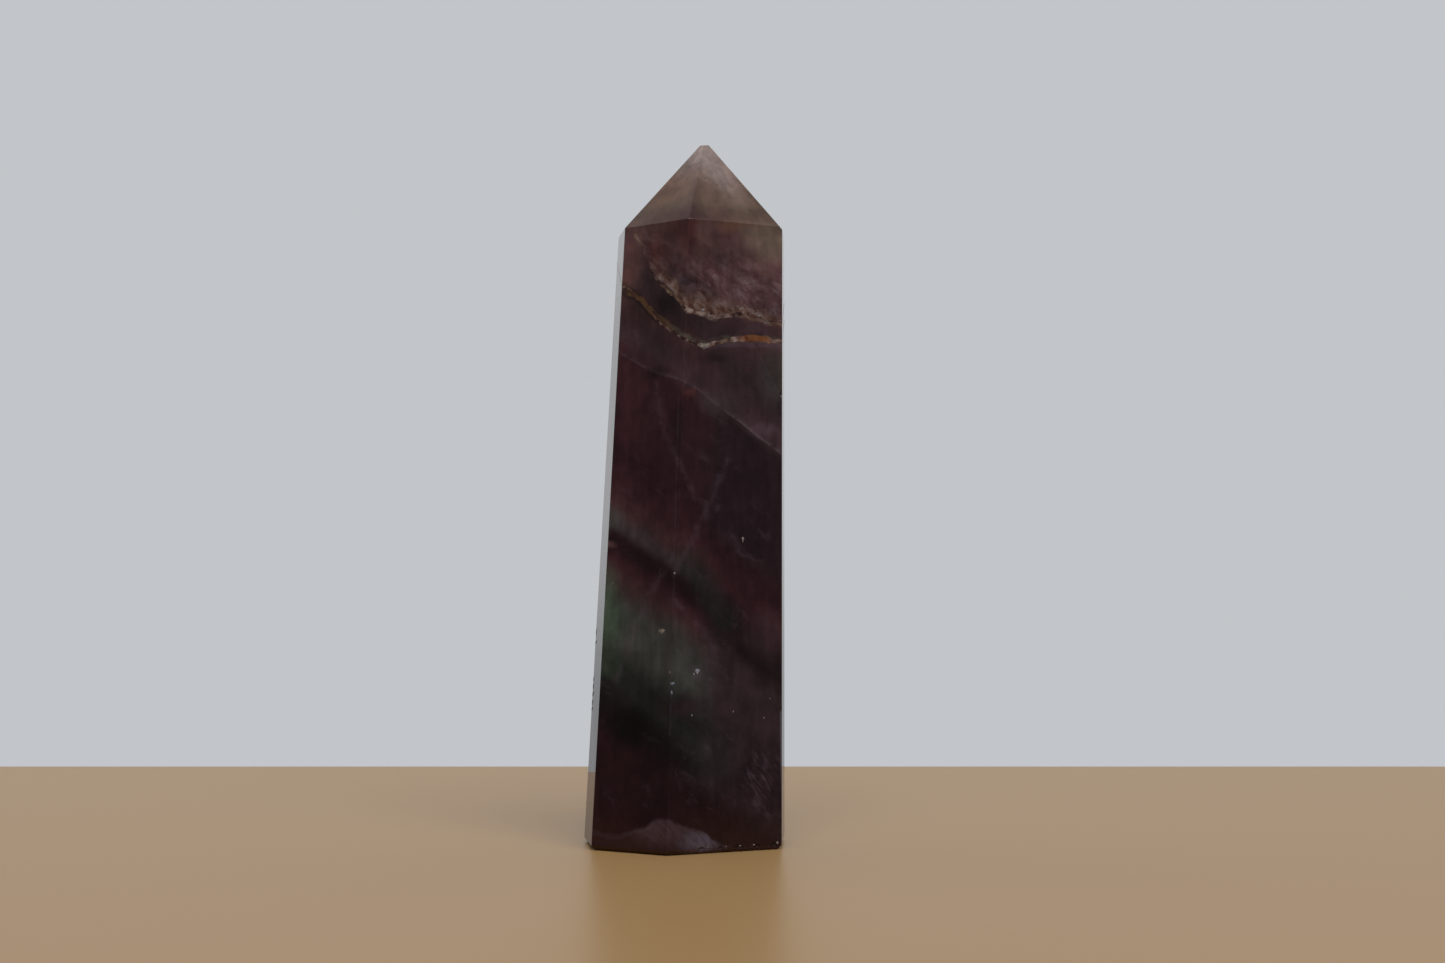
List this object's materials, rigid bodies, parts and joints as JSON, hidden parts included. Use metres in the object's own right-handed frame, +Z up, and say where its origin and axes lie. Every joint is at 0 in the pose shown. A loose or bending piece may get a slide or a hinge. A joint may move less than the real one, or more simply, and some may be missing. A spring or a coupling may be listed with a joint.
{
  "type": "rainbow fluorite point",
  "caption": "Polished tapering hexagonal crystal tower with a six-faced tip and a flat bevelled foot, dark wine and green translucent banded fluorite.",
  "frame": {"origin": "middle of the flat foot, on the surface that the point stands on", "axes": "+Z up along the column towards the tip, -Y towards the two broad front faces, +X towards the upright right-hand face"},
  "size_m": [0.023, 0.0218, 0.08],
  "materials": {
    "fluorite": "polished, translucent, banded wine, mauve and green with pale veins"
  },
  "bodies": {
    "root": {"fluorite_point": "fluorite"}
  },
  "joints": []
}
